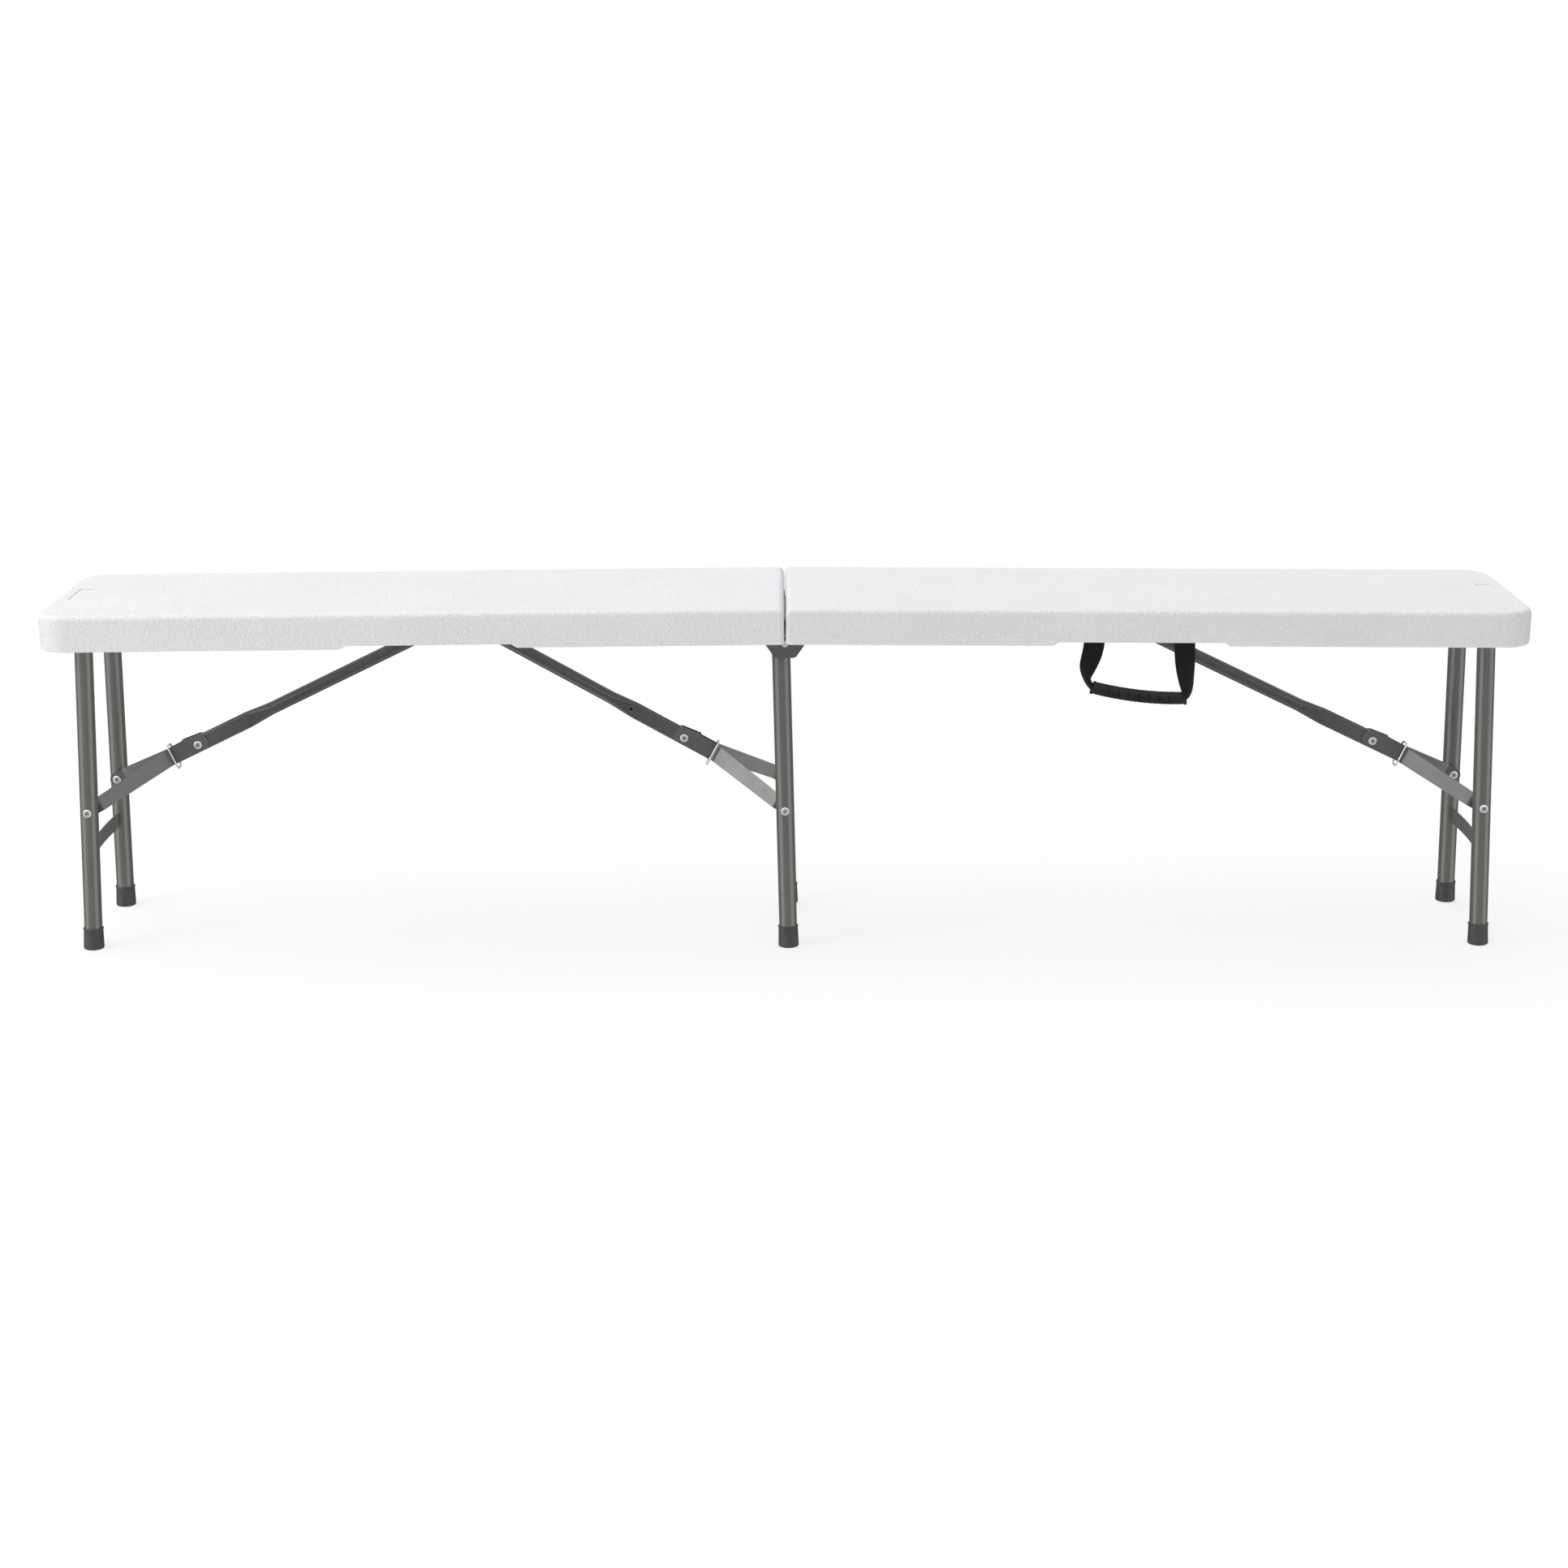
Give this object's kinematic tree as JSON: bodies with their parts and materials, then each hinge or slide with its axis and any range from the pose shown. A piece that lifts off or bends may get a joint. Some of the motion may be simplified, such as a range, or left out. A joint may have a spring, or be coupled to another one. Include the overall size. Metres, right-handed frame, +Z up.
{
  "type": "folding bench",
  "caption": "Long narrow bench whose moulded seat folds in half on a centre hinge, with folding tube legs, elbow braces locked by sliding rings, and a carry handle.",
  "frame": {"origin": "on the floor, under the centre of the seat's length and width", "axes": "+X along the seat, -Y towards the side with the carry handle (the front), +Z up"},
  "size_m": [1.8306, 0.28, 0.4449],
  "materials": {
    "seat_plastic": "blow-moulded off-white polyethylene with a fine leather grain",
    "leg_steel": "warm dark grey powder coat, satin",
    "bracket_steel": "dark grey powder coat, satin",
    "bright_steel": "zinc plated",
    "foot_rubber": "matt moulded cap",
    "webbing": "woven webbing",
    "grip_plastic": "soft moulded grip with finger ribs"
  },
  "bodies": {
    "left_half": {"left_top": "seat_plastic", "left_panel_screws": "bright_steel", "left_brace_bracket": "bracket_steel", "left_brace_pin": "bright_steel", "left_hinge_leaf_front": "bracket_steel", "left_hinge_leaf_rear": "bracket_steel", "hinge_pins": "bright_steel", "left_axle_saddles": "bracket_steel", "middle_axle_saddles": "bracket_steel"},
    "right_half": {"right_top": "seat_plastic", "right_panel_screws": "bright_steel", "right_brace_bracket": "bracket_steel", "right_brace_pin": "bright_steel", "right_hinge_leaf_front": "bracket_steel", "right_hinge_leaf_rear": "bracket_steel", "right_axle_saddles": "bracket_steel", "handle_tabs": "webbing", "handle_screws": "bright_steel"},
    "left_leg": {"left_front_tube": "leg_steel", "left_rear_tube": "leg_steel", "left_cross_bar": "leg_steel", "left_axle": "leg_steel", "left_feet": "foot_rubber", "left_leg_rivets": "bright_steel"},
    "left_brace": {"left_brace_tube": "leg_steel"},
    "left_yoke": {"left_yoke_front_arm": "leg_steel", "left_yoke_rear_arm": "leg_steel", "left_elbow_rivet": "bright_steel", "left_yoke_rivets": "bright_steel"},
    "left_ring": {"left_lock_ring": "bright_steel"},
    "middle_leg": {"middle_front_tube": "leg_steel", "middle_rear_tube": "leg_steel", "middle_cross_bar": "leg_steel", "middle_axle": "leg_steel", "middle_feet": "foot_rubber", "middle_leg_rivets": "bright_steel"},
    "middle_brace": {"middle_brace_tube": "leg_steel"},
    "middle_yoke": {"middle_yoke_front_arm": "leg_steel", "middle_yoke_rear_arm": "leg_steel", "middle_elbow_rivet": "bright_steel", "middle_yoke_rivets": "bright_steel"},
    "middle_ring": {"middle_lock_ring": "bright_steel"},
    "right_leg": {"right_front_tube": "leg_steel", "right_rear_tube": "leg_steel", "right_cross_bar": "leg_steel", "right_axle": "leg_steel", "right_feet": "foot_rubber", "right_leg_rivets": "bright_steel"},
    "right_brace": {"right_brace_tube": "leg_steel"},
    "right_yoke": {"right_yoke_front_arm": "leg_steel", "right_yoke_rear_arm": "leg_steel", "right_elbow_rivet": "bright_steel", "right_yoke_rivets": "bright_steel"},
    "right_ring": {"right_lock_ring": "bright_steel"},
    "handle": {"handle_webbing": "webbing", "handle_grip": "grip_plastic"}
  },
  "joints": [
    {"name": "centre_fold", "type": "hinge", "parent": "left_half", "child": "right_half", "pos_m": [0, 0, 0.392], "axis": [0, 1, 0], "range_deg": [0, 179.11]},
    {"name": "left_leg_fold", "type": "hinge", "parent": "left_half", "child": "left_leg", "pos_m": [-0.87003, 0, 0.40026], "axis": [0, -1, 0], "range_deg": [0, 91.71]},
    {"name": "left_brace_fold", "type": "hinge", "parent": "left_half", "child": "left_brace", "pos_m": [-0.41008, 0, 0.40882], "axis": [0, 1, 0], "range_deg": [0, 25.48]},
    {"name": "left_elbow", "type": "hinge", "parent": "left_brace", "child": "left_yoke", "pos_m": [-0.75028, 0, 0.24344], "axis": [0, -1, 0], "range_deg": [0, 176.09]},
    {"name": "left_ring_slide", "type": "slide", "parent": "left_brace", "child": "left_ring", "axis": [0.8994, 0, 0.4372], "range_m": [0, 0.3]},
    {"name": "middle_leg_fold", "type": "hinge", "parent": "left_half", "child": "middle_leg", "pos_m": [-0.00555, 0, 0.40696], "axis": [0, 1, 0], "range_deg": [0, 90.83]},
    {"name": "middle_brace_fold", "type": "hinge", "parent": "left_half", "child": "middle_brace", "pos_m": [-0.41008, 0, 0.40882], "axis": [0, -1, 0], "range_deg": [0, 29.85]},
    {"name": "middle_elbow", "type": "hinge", "parent": "middle_brace", "child": "middle_yoke", "pos_m": [-0.12895, 0, 0.25039], "axis": [0, 1, 0], "range_deg": [0, 177.96]},
    {"name": "middle_ring_slide", "type": "slide", "parent": "middle_brace", "child": "middle_ring", "axis": [-0.8712, 0, 0.491], "range_m": [0, 0.285]},
    {"name": "right_leg_fold", "type": "hinge", "parent": "right_half", "child": "right_leg", "pos_m": [0.87003, 0, 0.40026], "axis": [0, 1, 0], "range_deg": [0, 91.71]},
    {"name": "right_brace_fold", "type": "hinge", "parent": "right_half", "child": "right_brace", "pos_m": [0.41008, 0, 0.40882], "axis": [0, -1, 0], "range_deg": [0, 25.48]},
    {"name": "right_elbow", "type": "hinge", "parent": "right_brace", "child": "right_yoke", "pos_m": [0.75028, 0, 0.24344], "axis": [0, 1, 0], "range_deg": [0, 176.09]},
    {"name": "right_ring_slide", "type": "slide", "parent": "right_brace", "child": "right_ring", "axis": [-0.8994, 0, 0.4372], "range_m": [0, 0.3]},
    {"name": "handle_swing", "type": "hinge", "parent": "right_half", "child": "handle", "pos_m": [0.43, -0.1248, 0.39817], "axis": [-1, 0, 0.0077], "range_deg": [0, 90]}
  ],
  "couplings": [
    {"joint": "left_leg_fold", "follows": "centre_fold", "ratio": 0.51205},
    {"joint": "left_brace_fold", "follows": "centre_fold", "ratio": 0.14227},
    {"joint": "left_elbow", "follows": "centre_fold", "ratio": 0.98314},
    {"joint": "left_ring_slide", "follows": "centre_fold", "m_per_rad": 0.095966},
    {"joint": "middle_leg_fold", "follows": "centre_fold", "ratio": 0.50709},
    {"joint": "middle_brace_fold", "follows": "centre_fold", "ratio": 0.16664},
    {"joint": "middle_elbow", "follows": "centre_fold", "ratio": 0.99359},
    {"joint": "middle_ring_slide", "follows": "centre_fold", "m_per_rad": 0.091168},
    {"joint": "right_leg_fold", "follows": "centre_fold", "ratio": 0.51205},
    {"joint": "right_brace_fold", "follows": "centre_fold", "ratio": 0.14227},
    {"joint": "right_elbow", "follows": "centre_fold", "ratio": 0.98314},
    {"joint": "right_ring_slide", "follows": "centre_fold", "m_per_rad": 0.095966},
    {"joint": "handle_swing", "follows": "centre_fold", "ratio": 0.50248}
  ]
}
